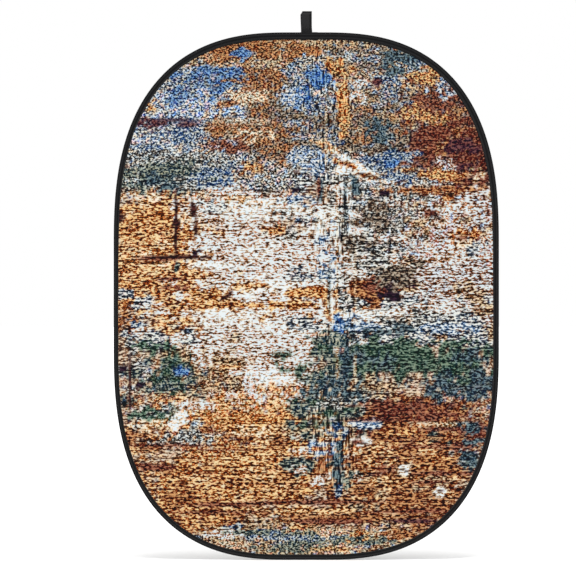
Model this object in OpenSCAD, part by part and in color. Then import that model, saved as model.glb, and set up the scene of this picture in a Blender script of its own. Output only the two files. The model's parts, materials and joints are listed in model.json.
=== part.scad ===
// Collapsible backdrop panel: two printed cloths sewn inside a springy steel hoop, with a
// hanging loop of webbing. The panel stands upright, faces -Y and rests on its bottom edge.
// The hoop bends anywhere. Here it bends at two fold lines, so each strip or sheet that
// crosses them is built as an upper, a middle and a lower length.

/* [Panel] */
// Width over the rim
panel_w = 1500; // [1350:10:1650]
// Height over the rim
panel_h = 2054; // [1950:2:2150]
// Straight run along the top and along the bottom edge
flat_top = 130; // [110:10:160]
// Straight run along each side
flat_side = 408; // [300:4:420]
// Roundness of the corners: 2 is an ellipse, more is squarer
corner_power = 2.55; // [2.2:0.05:3]
// Straight steps that each round corner is divided into
corner_steps = 24; // [12:4:32]

/* [Steel hoop] */
// Width of the spring-steel band, across the panel's thickness
band_w = 8; // [7:0.5:8.5]
// Thickness of the band
band_t = 1.5; // [1:0.1:1.6]
// Gap between the band's two ends
band_gap = 2; // [1:0.5:6]
// Length of the sleeve that joins the ends
sleeve_l = 64; // [50:2:80]
// Wall of the sleeve
sleeve_t = 0.5; // [0.4:0.1:0.6]
// Length of the shrink tube over the sleeve
wrap_l = 92; // [84:2:104]
// Wall of the shrink tube
wrap_t = 0.3; // [0.2:0.1:0.4]

/* [Cloth] */
// Thickness of each cloth
cloth_t = 0.6; // [0.4:0.1:0.8]
// How far inside the rim the cloths end
cloth_inset = 10; // [8:0.5:12]

/* [Binding] */
// Thickness of the rim over the binding
rim_t = 12; // [11.5:0.1:13]
// Depth of the tunnel that holds the hoop
tunnel_d = 14; // [13:0.5:16]
// Width of the binding on each face of the panel
binding_w = 21; // [19:0.5:26]
// Thickness of the binding tape
tape_t = 0.8; // [0.6:0.1:0.9]
// Width of the sewing thread
thread_w = 0.6; // [0.4:0.1:0.8]
// Where the tape's lapped ends start and stop, left to right
lap_x = [-25, 45]; // [-60:60]
// Thickness of the lapped ply
lap_t = 0.8; // [0.6:0.1:0.8]

/* [Hanging loop] */
// Width of the webbing
webbing_w = 38; // [30:1:50]
// Thickness of the webbing
webbing_t = 1.6; // [1.4:0.1:1.8]
// Height of the loop above the rim
loop_h = 84; // [76:1:96]
// How much lower the loop's front ply folds over than its back ply
loop_slant = 14; // [8:1:16]
// Width of the open eye between the two plies
eye_w = 9; // [8:0.5:10]
// Height of the loop's bending line above the rim
loop_root = 8; // [8:0.5:10]

/* [Folds] */
// Height of the upper fold line
upper_fold = 1450; // [1400:10:1500]
// Height of the lower fold line
lower_fold = 650; // [600:10:700]
// Largest angle of each fold, either way
fold_limit = 115; // [60:5:115]

/* [Hidden] */

half_w = panel_w / 2;
half_h = panel_h / 2;
rim_y = rim_t / 2;                        // outer faces of the rim, front and back
fit = 0.1;                                // room round the band and the sleeve
wrap_gap = 0.2;                           // room between shrink tube and tunnel wall
wrap_depth = sleeve_t + wrap_t + 2 * fit; // band face to the shrink tube's outer face
band_inset = tape_t + wrap_gap + wrap_depth;
flange_y = cloth_t + tape_t;              // outer faces of the binding beside the tunnel
stitch_inset = (tunnel_d + binding_w) / 2;
thread_t = 0.4;                           // height of the thread above what it is sewn on
fold_gap = 1;                             // half the gap between lengths at a fold line
bevel_angle = fold_limit / 2 + 1;         // slope that lets the lengths fold past each other
beyond = 50;                              // how far cutting solids reach past what they cut

tail_y = rim_y + lap_t;                   // front face of the loop's sewn tails
loop_y = tail_y + webbing_t;              // middle of the loop, where its two plies meet
loop_z = panel_h + loop_root;             // bending line of the loop
loop_top = loop_h - loop_root;            // loop's height above its bending line
tail_step = 10;                           // height over which the tails step in to the cloth
tail_end = panel_h - tunnel_d - 28;       // lower end of the tails

// A point on the panel's rounded corner, from 0 at the side to 90 at the top, from its centre
function corner_point(a) = [
    flat_top / 2 + (half_w - flat_top / 2) * pow(cos(a), 2 / corner_power),
    flat_side / 2 + (half_h - flat_side / 2) * pow(sin(a), 2 / corner_power)
];

// The outward direction at that point
function corner_normal(a) =
    let (p = 2 - 2 / corner_power)
    let (n = [pow(cos(a), p) / (half_w - flat_top / 2),
              pow(sin(a), p) / (half_h - flat_side / 2)])
    n / norm(n);

// One corner's points, moved inwards by inset
function corner(inset) = [
    for (i = [0:corner_steps])
        let (a = 90 * i / corner_steps)
        corner_point(a) - inset * corner_normal(a)
];

function flip(points, sx, sz) = [for (p = points) [sx * p[0], half_h + sz * p[1]]];
function reversed(points) = [for (i = [len(points) - 1:-1:0]) points[i]];

// The whole outline in X and Z, moved inwards by inset
function outline(inset) = concat(
    flip(corner(inset), 1, 1),
    reversed(flip(corner(inset), -1, 1)),
    flip(corner(inset), -1, -1),
    reversed(flip(corner(inset), 1, -1))
);

// A flat shape in X and Z made solid from y0 to y1
module slab(y0, y1) {
    translate([0, y1, 0])
        rotate([90, 0, 0])
            linear_extrude(y1 - y0)
                children();
}

// The rim between two depths from the panel's edge
module rim(inset0, inset1, y0, y1) {
    difference() {
        slab(y0, y1) polygon(outline(inset0));
        slab(y0 - 1, y1 + 1) polygon(outline(inset1));
    }
}

// A profile in Y and Z made solid across a width in X
module across(x0, x1) {
    translate([x0, 0, 0])
        rotate([90, 0, 90])
            linear_extrude(x1 - x0)
                children();
}

// What is cut away at a fold line, so that the lengths on both sides can fold either way
module fold_room(z) {
    rise = rim_t * tan(bevel_angle);
    translate([0, 0, z])
        across(-half_w - beyond, half_w + beyond)
            polygon([
                [0, fold_gap], [rim_t, fold_gap + rise], [rim_t, -fold_gap - rise],
                [0, -fold_gap], [-rim_t, -fold_gap - rise], [-rim_t, fold_gap + rise]
            ]);
}

// Everything between two heights
module heights(z0, z1) {
    translate([-half_w - beyond, -beyond, z0])
        cube([panel_w + 2 * beyond, 2 * beyond, z1 - z0]);
}

module upper_length() {
    difference() {
        children();
        heights(-beyond, upper_fold);
        fold_room(upper_fold);
    }
}

module middle_length() {
    difference() {
        children();
        heights(upper_fold, panel_h + beyond);
        heights(-beyond, lower_fold);
        fold_room(upper_fold);
        fold_room(lower_fold);
    }
}

module lower_length() {
    difference() {
        children();
        heights(lower_fold, panel_h + beyond);
        fold_room(lower_fold);
    }
}

module cloth(y0, y1) {
    slab(y0, y1) polygon(outline(cloth_inset));
}

module front_cloth() {
    cloth(-cloth_t, 0);
}

module back_cloth() {
    cloth(0, cloth_t);
}

// Tape folded over the rim: a tunnel round the hoop, then two flanges sewn to the cloths
module binding() {
    difference() {
        union() {
            rim(0, tunnel_d, -rim_y, rim_y);
            rim(tunnel_d - tape_t, binding_w, -flange_y, flange_y);
        }
        rim(tape_t, tunnel_d - tape_t, -rim_y + tape_t, rim_y - tape_t);
        rim(cloth_inset, binding_w + 1, -cloth_t, cloth_t);
    }
}

module band_ring() {
    rim(band_inset, band_inset + band_t, -band_w / 2, band_w / 2);
}

// The seam's two threads, one on each face
module stitching() {
    edge = stitch_inset - thread_w / 2;
    rim(edge, edge + thread_w, -flange_y - thread_t, -flange_y);
    rim(edge, edge + thread_w, flange_y, flange_y + thread_t);
}

// A flat tube round the band where its ends meet, at the middle of the bottom edge
module band_tube(l, gap, wall) {
    mid = [0, 0, band_inset + band_t / 2];
    bore = [l + 2, band_w + 2 * gap, band_t + 2 * gap];
    translate(mid)
        difference() {
            cube([l, bore[1] + 2 * wall, bore[2] + 2 * wall], center = true);
            cube(bore, center = true);
        }
}

module front_cloth_upper() {
    color("burlywood") upper_length() front_cloth();
}

module front_cloth_middle() {
    color("burlywood") middle_length() front_cloth();
}

module front_cloth_lower() {
    color("burlywood") lower_length() front_cloth();
}

module back_cloth_upper() {
    color("gainsboro") upper_length() back_cloth();
}

module back_cloth_middle() {
    color("gainsboro") middle_length() back_cloth();
}

module back_cloth_lower() {
    color("gainsboro") lower_length() back_cloth();
}

module binding_upper() {
    color("#1e1e1e") upper_length() binding();
}

module binding_middle() {
    color("#1e1e1e") middle_length() binding();
}

module binding_lower() {
    color("#1e1e1e") lower_length() binding();
}

module hoop_upper() {
    color("slategray") upper_length() band_ring();
}

module hoop_middle() {
    color("slategray") middle_length() band_ring();
}

module hoop_lower() {
    color("slategray")
        difference() {
            lower_length() band_ring();
            translate([-band_gap / 2, -band_w, 0])
                cube([band_gap, 2 * band_w, tunnel_d]);
        }
}

module stitching_upper() {
    color("dimgray") upper_length() stitching();
}

module stitching_middle() {
    color("dimgray") middle_length() stitching();
}

module stitching_lower() {
    color("dimgray") lower_length() stitching();
}

module hoop_sleeve() {
    color("silver") band_tube(sleeve_l, fit, sleeve_t);
}

module sleeve_wrap() {
    color("#303030") band_tube(wrap_l, sleeve_t + 2 * fit, wrap_t);
}

// The binding tape's end, lapped over its start along the top edge
module tape_lap() {
    color("#242424")
        across(lap_x[0], lap_x[1])
            polygon([
                [-tail_y, panel_h - tunnel_d], [-rim_y, panel_h - tunnel_d],
                [-rim_y, panel_h], [rim_y, panel_h],
                [rim_y, panel_h - tunnel_d], [tail_y, panel_h - tunnel_d],
                [tail_y, panel_h + lap_t], [-tail_y, panel_h + lap_t]
            ]);
}

// The loop's two tails, sewn flat on the back of the binding and stepped in to the cloth
module loop_tails() {
    double = 2 * webbing_t;
    step_z = panel_h - tunnel_d;
    color("#2c2c2c")
        across(-webbing_w / 2, webbing_w / 2)
            polygon([
                [flange_y, tail_end], [flange_y + double, tail_end],
                [flange_y + double, step_z - tail_step], [tail_y + double, step_z],
                [tail_y + double, loop_z - 1 - webbing_t], [loop_y, loop_z - 1],
                [tail_y, loop_z - 1 - webbing_t], [tail_y, step_z],
                [flange_y, step_z - tail_step]
            ]);
}

// Four bars of thread that tack the tails down in a square
module loop_tack() {
    y = flange_y + 2 * webbing_t;
    side = webbing_w - 10;
    height = 14;
    bottom = tail_end + 3;
    color("dimgray") {
        for (z = [bottom, bottom + height])
            translate([-side / 2, y, z])
                cube([side, thread_t, thread_w]);
        for (x = [-side / 2, side / 2 - thread_w])
            translate([x, y, bottom + thread_w])
                cube([thread_w, thread_t, height - thread_w]);
    }
}

// Webbing doubled into an open eye, its top fold slanting down to the front
module hang_loop() {
    inner = eye_w / 2;
    outer = inner + webbing_t;
    widest = 24;   // height at which the eye has opened to its full width
    closed = 7;    // height at which the plies start to part
    front_z = loop_top - loop_slant;
    color("#2c2c2c")
        translate([0, loop_y, loop_z])
            across(-webbing_w / 2, webbing_w / 2)
                difference() {
                    polygon([
                        [0, 1], [webbing_t, 1 + webbing_t], [webbing_t, closed],
                        [outer, widest], [outer, loop_top - 2], [outer - 2, loop_top],
                        [outer - 4, loop_top - 1], [-outer, front_z],
                        [-outer, widest], [-webbing_t, closed], [-webbing_t, 1 + webbing_t]
                    ]);
                    polygon([
                        [0, closed + 1], [inner, widest], [inner, loop_top - 4],
                        [-inner, front_z - 2], [-inner, widest]
                    ]);
                }
}

front_cloth_upper();
front_cloth_middle();
front_cloth_lower();
back_cloth_upper();
back_cloth_middle();
back_cloth_lower();
binding_upper();
binding_middle();
binding_lower();
hoop_upper();
hoop_middle();
hoop_lower();
stitching_upper();
stitching_middle();
stitching_lower();
hoop_sleeve();
sleeve_wrap();
tape_lap();
loop_tails();
loop_tack();
hang_loop();
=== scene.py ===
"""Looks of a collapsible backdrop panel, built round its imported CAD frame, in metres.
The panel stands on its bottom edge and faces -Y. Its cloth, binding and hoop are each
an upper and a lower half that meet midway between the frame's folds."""

import json
import math
import random

import bpy
import numpy as np
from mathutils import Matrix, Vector


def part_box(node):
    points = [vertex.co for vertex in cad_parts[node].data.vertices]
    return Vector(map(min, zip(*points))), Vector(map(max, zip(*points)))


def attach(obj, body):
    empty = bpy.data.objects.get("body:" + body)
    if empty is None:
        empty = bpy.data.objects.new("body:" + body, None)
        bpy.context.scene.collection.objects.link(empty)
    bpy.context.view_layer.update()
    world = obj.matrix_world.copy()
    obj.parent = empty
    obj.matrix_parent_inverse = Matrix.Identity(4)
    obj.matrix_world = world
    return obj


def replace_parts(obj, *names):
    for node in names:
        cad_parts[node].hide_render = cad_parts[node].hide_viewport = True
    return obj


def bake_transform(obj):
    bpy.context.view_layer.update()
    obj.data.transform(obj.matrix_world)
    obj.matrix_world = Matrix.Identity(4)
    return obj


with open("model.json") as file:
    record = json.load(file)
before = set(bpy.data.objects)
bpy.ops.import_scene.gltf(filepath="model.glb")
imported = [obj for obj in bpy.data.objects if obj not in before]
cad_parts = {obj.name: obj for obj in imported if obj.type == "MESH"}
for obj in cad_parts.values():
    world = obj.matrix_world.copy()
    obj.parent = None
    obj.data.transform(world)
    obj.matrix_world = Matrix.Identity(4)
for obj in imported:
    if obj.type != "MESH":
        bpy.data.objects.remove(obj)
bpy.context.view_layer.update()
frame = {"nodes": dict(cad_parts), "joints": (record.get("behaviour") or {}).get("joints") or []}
MM = 0.001

# ------------------------------------------------------------ sizes taken from the frame

rim_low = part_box("binding_lower")[0]
rim_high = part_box("binding_upper")[1]
half_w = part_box("binding_middle")[1].x
half_h = (rim_high.z - rim_low.z) / 2
centre_z = (rim_high.z + rim_low.z) / 2
rim_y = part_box("binding_middle")[1].y
cloth_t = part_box("back_cloth_middle")[1].y
cloth_inset = half_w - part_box("front_cloth_middle")[1].x
band_inset = half_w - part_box("hoop_middle")[1].x
band_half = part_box("hoop_middle")[1].y
lap_low, lap_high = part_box("tape_lap")
loop_low, loop_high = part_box("hang_loop")
tails_low, tails_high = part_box("loop_tails")
fold_z = {j["name"]: j["pos_m"][2] for j in frame["joints"]}
split_z = (fold_z["upper_fold"] + fold_z["lower_fold"]) / 2

# ------------------------------------------------------------ sizes the frame doesn't say

FLAT_X = 65 * MM  # half the straight run along the top
FLAT_Z = 204 * MM  # half the straight run along a side
CORNER_POWER = 2.55  # the corners are super-ellipses
BAND_T = 1.5 * MM
TAPE_T = 0.8 * MM
WEBBING_T = 1.6 * MM
WEBBING_W = 37 * MM
BACK_BINDING_W = 24 * MM
HIGHLIGHT_PITCH = 12 * MM  # from one of the tape's painted highlight lines to the next
STITCH = 3.6 * MM  # from one stitch to the next
STITCH_IN = 3 * MM  # from the binding's inner edge to its seam
GRID = 6 * MM  # from one of the cloth's points to the next
RIM_STEP = 5 * MM  # from one section of the tape to the next
CLOTH_WEAVE, TAPE_WEAVE, WEBBING_WEAVE = 1.1 * MM, 0.9 * MM, 2.4 * MM
SPECKS = 140  # specks of the print in a metre
INK = 0.78  # the studio is brighter than the light that the colours are named in
# Visible width of the binding on the front, in mm, by degrees round from +X
FRONT_BINDING_W = ((0, 22.4), (45, 27), (75, 29), (105, 28.5), (135, 23), (180, 17.5),
                   (225, 19.5), (270, 21), (315, 22), (360, 22.4))
HALVES = ((True, "upper"), (False, "lower"))


# ------------------------------------------------------------ the rim's path


def corner_rows(inset, count):
    """Points and normals of one rounded corner from its side to its top, from the centre."""
    a = np.linspace(0, math.pi / 2, count)
    power = 2 / CORNER_POWER
    cx, cz = half_w - FLAT_X, half_h - FLAT_Z
    point = np.stack([FLAT_X + cx * np.cos(a) ** power, FLAT_Z + cz * np.sin(a) ** power], 1)
    normal = np.stack([np.cos(a) ** (2 - power) / cx, np.sin(a) ** (2 - power) / cz], 1)
    normal /= np.linalg.norm(normal, axis=1)[:, None]
    return point - inset * normal, normal


def run_length(p):
    """How far each point of an open path lies along it."""
    return np.r_[0, np.cumsum(np.linalg.norm(np.diff(p, axis=0), axis=1))]


def rim_path(step):
    """Evenly spaced points and outward normals in X and Z, anticlockwise from the right."""
    corner, facing = corner_rows(0.0, 800)
    points, normals = [], []
    for sx, sz in ((1, 1), (-1, 1), (-1, -1), (1, -1)):
        order = slice(None) if sx == sz else slice(None, None, -1)
        points.append((corner * (sx, sz))[order])
        normals.append((facing * (sx, sz))[order])
    p, n = np.vstack([*points, points[0][:1]]), np.vstack([*normals, normals[0][:1]])
    run = run_length(p)
    at = np.linspace(0, run[-1], int(run[-1] / step) + 1)[:-1]
    p = np.stack([np.interp(at, run, p[:, i]) for i in (0, 1)], 1)
    n = np.stack([np.interp(at, run, n[:, i]) for i in (0, 1)], 1)
    return p + (0, centre_z), n / np.linalg.norm(n, axis=1)[:, None]


def half_path(upper, step):
    """The rim above or below the split height, from one side to the other, ends on it."""
    p, n = rim_path(step)
    inside = (p[:, 1] > split_z) == upper
    start = int(np.argmax(inside & ~np.roll(inside, 1)))
    order = (np.arange(len(p)) + start) % len(p)
    order = order[inside[order]]
    p, n = p[order], n[order]
    p[[0, -1], 1] = split_z
    return p, n


def angle_of(x, z):
    return np.arctan2(z - centre_z, x)


def front_binding_w(angle):
    degrees, width = np.array(FRONT_BINDING_W).T
    wave = 0.35 * np.sin(23 * angle) + 0.25 * np.sin(41 * angle + 1)
    return (np.interp(np.degrees(angle) % 360, degrees, width) + wave) * MM


def smooth(low, high, value):
    t = np.clip((value - low) / (high - low), 0, 1)
    return t * t * (3 - 2 * t)


def lattice_noise(x, z, seed):
    """Smooth noise, mostly from -0.7 to 0.7, with features about 1 across."""
    cell_x, cell_z = np.floor(x).astype(np.int64), np.floor(z).astype(np.int64)
    in_x, in_z = x - cell_x, z - cell_z

    def slope(i, j):
        """What a slope, in a direction hashed from its lattice point, gives at each place."""
        key = (cell_x + i) * 374761393 + (cell_z + j) * 668265263 + seed * 974711
        key = ((key ^ (key >> 13)) * 1274126177) & 0xFFFFFFFF
        turn = 2 * math.pi * (key ^ (key >> 16)) / 2**32
        return np.cos(turn) * (in_x - i) + np.sin(turn) * (in_z - j)

    across, up = smooth(0, 1, in_x), smooth(0, 1, in_z)
    low = slope(0, 0) + across * (slope(1, 0) - slope(0, 0))
    high = slope(0, 1) + across * (slope(1, 1) - slope(0, 1))
    return 1.4 * (low + up * (high - low))


def noise_at(x, z, scale, seed=0, octaves=3):
    """Fractal noise, mostly from -1 to 1, with features 1 / scale metres across."""
    layers = [0.55**k * lattice_noise(x * scale * 2**k, z * scale * 2**k, seed + 17 * k)
              for k in range(octaves)]
    return sum(layers)


# ------------------------------------------------------------ mesh making


def new_piece(name, verts, faces, material, strip=None):
    """A mesh object. Its patterns read the rest place of each vertex, or place on a strip."""
    mesh = bpy.data.meshes.new(name)
    mesh.from_pydata(np.asarray(verts, float).tolist(), [], faces)
    mesh.materials.append(material)
    mesh.polygons.foreach_set("use_smooth", [True] * len(mesh.polygons))
    place = mesh.attributes.new("place", "FLOAT_VECTOR", "POINT")
    values = verts if strip is None else strip
    place.data.foreach_set("vector", np.asarray(values, np.float32).ravel())
    obj = bpy.data.objects.new(name, mesh)
    bpy.context.scene.collection.objects.link(obj)
    return obj


def sharp_edges(obj):
    obj.data.set_sharp_from_angle(angle=math.radians(40))


def tube_faces(rings, sides):
    """Quads between closed rings of vertices."""
    return [(a + j, a + (j + 1) % sides, a + sides + (j + 1) % sides, a + sides + j)
            for a in range(0, (rings - 1) * sides, sides) for j in range(sides)]


def folded_cap(start, sides, flip):
    """Quads that close one end of a tape whose ring runs out along one face and back."""
    half = sides // 2
    quads = [(start + j, start + j + 1, start + sides - 2 - j, start + sides - 1 - j)
             for j in range(half - 1)]
    return [q[::-1] for q in quads] if flip else quads


def inward(path):
    """Unit vectors into the fold of a tape from its outer path of (inset, y)."""
    ahead = np.gradient(path, axis=0)
    ahead /= np.linalg.norm(ahead, axis=1)[:, None]
    return np.stack([ahead[:, 1], -ahead[:, 0]], 1)


def sweep(name, p, n, sections, material):
    """Carries a closed section of (inset, y) along the rim, one for each point of it."""
    sides = len(sections[0])
    sections = np.array(sections)
    xz = p[:, None, :] - sections[:, :, :1] * n[:, None, :]
    verts = np.stack([xz[..., 0], sections[..., 1], xz[..., 1]], -1).reshape(-1, 3)
    along = np.repeat(run_length(p), sides)
    edge = np.linalg.norm(np.diff(sections[0], axis=0), axis=1)
    across = np.tile(np.r_[0, np.cumsum(edge)], len(p))
    strip = np.stack([along, across, sections[:, :, 0].ravel()], 1)
    faces = tube_faces(len(p), sides) + folded_cap(0, sides, True)
    faces += folded_cap((len(p) - 1) * sides, sides, False)
    return new_piece(name, verts, faces, material, strip)


def bends(obj, upper, *nodes):
    """A finished half, with its placing baked into its mesh, stands for nodes."""
    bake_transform(obj)
    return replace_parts(obj, *nodes)


# ------------------------------------------------------------ materials


class Shader:
    """A Principled material and short ways to add nodes to it."""

    def __init__(self, name, roughness, **sockets):
        self.material = bpy.data.materials.new(name)
        self.material.use_nodes = True
        self.tree = self.material.node_tree
        self.bsdf = self.tree.nodes["Principled BSDF"]
        self.bsdf.inputs["Roughness"].default_value = roughness
        for socket, value in sockets.items():
            self.bsdf.inputs[socket.replace("_", " ")].default_value = value

    def add(self, kind, inputs, output=0, **settings):
        node = self.tree.nodes.new("ShaderNode" + kind)
        for key, value in settings.items():
            setattr(node, key, value)
        for key, value in inputs.items():
            if isinstance(value, bpy.types.NodeSocket):
                self.tree.links.new(value, node.inputs[key])
            else:
                node.inputs[key].default_value = value
        return node.outputs[output]

    def link(self, value, socket):
        self.tree.links.new(value, self.bsdf.inputs[socket])

    def attribute(self, name, output="Vector"):
        return self.add("Attribute", {}, output, attribute_name=name)

    def math(self, operation, a, b=0.0):
        return self.add("Math", {0: a, 1: b}, operation=operation)

    def stretch(self, vector, by):
        return self.add("VectorMath", {0: vector, 1: by}, operation="MULTIPLY")

    def shift(self, vector, by):
        return self.add("VectorMath", {0: vector, 1: by}, operation="ADD")

    def noise(self, vector, scale, detail=2.0, roughness=0.5, distortion=0.0):
        return self.add("TexNoise", {"Vector": vector, "Scale": scale, "Detail": detail,
                                     "Roughness": roughness, "Distortion": distortion})

    def step(self, value, low, high, to_low=0.0, to_high=1.0):
        return self.add("MapRange", {"Value": value, "From Min": low, "From Max": high,
                                     "To Min": to_low, "To Max": to_high},
                        interpolation_type="SMOOTHSTEP")

    def mix(self, factor, a, b, blend="MIX"):
        return self.add("Mix", {0: factor, 6: a, 7: b}, 2, data_type="RGBA", blend_type=blend)

    def split(self, vector):
        node = self.tree.nodes.new("ShaderNodeSeparateXYZ")
        self.tree.links.new(vector, node.inputs[0])
        return node.outputs

    def bump(self, height, strength, distance):
        self.link(self.add("Bump", {"Height": height, "Strength": strength,
                                    "Distance": distance}), "Normal")


def rgb(r, g, b):
    """A colour as a screen shows it, 0 to 255, as the linear RGBA that a shader takes."""
    def linear(c):
        c /= 255
        return c / 12.92 if c <= 0.04045 else ((c + 0.055) / 1.055) ** 2.4
    return (linear(r), linear(g), linear(b), 1.0)


def woven(s, vector, pitch):
    """Height of a plain weave with that pitch along the first and second coordinates."""
    x, y, z = s.split(vector)
    turn = 2 * math.pi / pitch
    warp = s.math("SINE", s.math("MULTIPLY", x, turn))
    weft = s.math("SINE", s.math("MULTIPLY", y, turn))
    return s.math("MULTIPLY", warp, weft)


def flat_place(s):
    """The rest place with Z brought to the second coordinate, so that it runs over the cloth."""
    x, y, z = s.split(s.attribute("place"))
    return s.add("CombineXYZ", {0: x, 1: z})


def speck_pattern(s, at, rows, drips):
    """Fine noise, about 0.5, in even specks, or drawn out in rows or in drips."""
    even = s.noise(s.stretch(at, (0.8, 1.0, 1.0)), SPECKS, 2.5, 0.7)
    short = s.noise(s.stretch(at, (0.45, 1.0, 1.0)), SPECKS, 2.0, 0.6, 0.2)
    long = s.noise(s.stretch(s.shift(at, (8.3, 3.9, 0)), (0.09, 1.0, 1.0)), 96, 2.0, 0.6, 0.2)
    in_rows = s.math("ADD", s.math("MULTIPLY", short, 0.72), s.math("MULTIPLY", long, 0.28))
    in_drips = s.noise(s.stretch(s.shift(at, (5.2, 0.4, 0)), (1.0, 0.14, 1.0)), 110, 3.0, 0.7)
    pattern = s.add("Mix", {0: rows, 2: even, 3: in_rows}, data_type="FLOAT")
    return s.add("Mix", {0: drips, 2: pattern, 3: in_drips}, data_type="FLOAT")


def tinged_shades(s, at, rows):
    """The mesh's four shades, warmer or cooler from one spot to the next, least the lightest
    one, and less where the print lies in rows."""
    hue = s.noise(s.shift(at, (1.9, 7.7, 0)), 70, 2.0, 0.6)
    tinge = s.mix(s.step(hue, 0.38, 0.62), (1.45, 0.88, 0.42, 1), (0.40, 0.98, 1.60, 1))
    amount = s.math("SUBTRACT", 0.75, s.math("MULTIPLY", rows, 0.55))
    faint = s.math("MULTIPLY", amount, 0.25)
    return [s.mix(share, s.attribute(name, "Color"), tinge, "MULTIPLY")
            for share, name in zip((amount, amount, amount, faint), SHADES)]


def print_material():
    """Weathered, peeling paint over rust, printed on cloth. Specks run from the darkest
    colour through the next two to the lightest; the mesh says which, and how they lie."""
    s = Shader("printed_cloth", 0.88, Sheen_Weight=0.04, Specular_IOR_Level=0.12)
    at = flat_place(s)
    rows, drips, level = s.split(s.attribute("lie"))
    specks = s.math("SUBTRACT", speck_pattern(s, at, rows, drips), 0.5)
    blotch = s.noise(s.stretch(s.shift(at, (3.1, 1.7, 0)), (0.6, 1.0, 1.0)), 34, 3.0, 0.6)
    streak = s.noise(s.stretch(s.shift(at, (2.3, 6.1, 0)), (0.05, 1.0, 1.0)), 66, 3.0, 0.6)
    streak = s.math("MULTIPLY", s.step(streak, 0.52, 0.66), rows)
    value = s.math("ADD", s.math("SUBTRACT", level, 0.14), s.math("MULTIPLY", specks, 13.5))
    value = s.math("ADD", value, s.math("MULTIPLY", s.math("SUBTRACT", blotch, 0.5), 1.9))
    value = s.math("SUBTRACT", value, s.math("MULTIPLY", streak, 0.40))
    colour, *lighter = tinged_shades(s, at, rows)
    for shade, low, high in zip(lighter, (-0.35, 0.20, 0.50), (0.15, 0.50, 0.84)):
        colour = s.mix(s.step(value, low, high), colour, shade)
    s.link(colour, "Base Color")
    s.bump(woven(s, at, CLOTH_WEAVE), 0.25, 0.15 * MM)
    return s.material


def back_material():
    s = Shader("back_cloth", 0.9, Sheen_Weight=0.08, Specular_IOR_Level=0.25)
    at = flat_place(s)
    cloud = s.noise(at, 2.2, 5.0, 0.6, 0.6)
    colour = s.mix(s.step(cloud, 0.35, 0.65), rgb(150, 147, 142), rgb(190, 187, 181))
    trowel = s.noise(s.stretch(at, (1.0, 0.35, 1.0)), 26, 4.0, 0.6, 0.8)
    colour = s.mix(s.step(trowel, 0.5, 0.68, 0, 0.45), colour, rgb(122, 119, 115))
    grain = s.noise(at, 190, 2.0, 0.6)
    colour = s.mix(s.step(grain, 0.55, 0.75, 0, 0.35), colour, rgb(215, 213, 208))
    s.link(colour, "Base Color")
    s.bump(woven(s, at, CLOTH_WEAVE), 0.25, 0.15 * MM)
    return s.material


def tape_material():
    s = Shader("binding_tape", 0.85, Sheen_Weight=0.03, Sheen_Roughness=0.5,
               Specular_IOR_Level=0.1)
    at = s.attribute("place")
    along, across, inset = s.split(at)
    # Painted highlight: faint lighter lines across the tape's width, where the hoop's ridge would
    # catch the light, mixed with the tape's real random wear
    turn = s.math("MULTIPLY", s.math("SUBTRACT", inset, 5 * MM), 2 * math.pi / HIGHLIGHT_PITCH)
    ridge_highlight = s.math("SINE", turn)
    wear = s.noise(s.stretch(at, (1.0, 6.0, 1.0)), 60, 4.0, 0.6)
    wear_and_highlight = s.math("ADD", s.math("MULTIPLY", ridge_highlight, 0.35), wear)
    s.link(s.mix(s.step(wear_and_highlight, 0.1, 1.0), rgb(14, 14, 15), rgb(34, 34, 35)), "Base Color")
    s.bump(woven(s, at, TAPE_WEAVE), 0.5, 0.2 * MM)
    return s.material


def webbing_material():
    s = Shader("webbing", 0.8, Sheen_Weight=0.1, Sheen_Roughness=0.35,
               Specular_IOR_Level=0.2)
    at = s.attribute("place")
    along, across, height = s.split(at)
    edge = s.step(s.math("ABSOLUTE", across), WEBBING_W * 0.36, WEBBING_W * 0.46)
    fibre = s.noise(s.stretch(at, (0.25, 1.0, 0.0)), 900, 3.0, 0.6)
    colour = s.mix(s.step(fibre, 0.35, 0.7), rgb(28, 28, 29), rgb(38, 38, 39))
    colour = s.mix(edge, colour, rgb(21, 21, 22))
    # The fold at the top: a painted shadow band below the fold, then a painted highlight line on its
    # edge, then painted shade over the top
    for down, reach, share, tone in ((14.3, 2.2, 0.5, 18), (10.2, 1.8, 0.7, 42), (4.0, 4.3, 0.9, 13)):
        off = s.math("ABSOLUTE", s.math("SUBTRACT", height, loop_high.z - down * MM))
        band = s.step(off, (reach - 0.5) * MM, (reach + 0.5) * MM, share, 0.0)
        colour = s.mix(band, colour, rgb(tone, tone, tone))
    s.link(colour, "Base Color")
    s.bump(woven(s, at, WEBBING_WEAVE), 0.6, 0.35 * MM)
    return s.material


def thread_material():
    s = Shader("thread", 0.5, Sheen_Weight=0.2)
    ply = s.noise(s.attribute("place"), 2200, 1.0)
    s.link(s.mix(ply, rgb(26, 26, 27), rgb(52, 52, 53)), "Base Color")
    return s.material


def steel_material():
    s = Shader("spring_steel", 0.32, Metallic=1.0)
    brushed = s.noise(s.stretch(s.attribute("place"), (1.0, 60.0, 60.0)), 30, 4.0, 0.6)
    tint = s.mix(s.step(brushed, 0.35, 0.65), rgb(92, 98, 110), rgb(128, 132, 142))
    s.link(tint, "Base Color")
    s.link(s.step(brushed, 0.3, 0.7, 0.25, 0.42), "Roughness")
    return s.material


def pressed_material():
    s = Shader("sleeve_steel", 0.35, Metallic=1.0)
    rolled = s.noise(s.add("TexCoord", {}, "Object"), 400, 3.0, 0.6)
    s.link(s.mix(rolled, rgb(170, 172, 175), rgb(205, 206, 208)), "Base Color")
    s.link(s.step(rolled, 0.3, 0.7, 0.28, 0.45), "Roughness")
    return s.material


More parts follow.
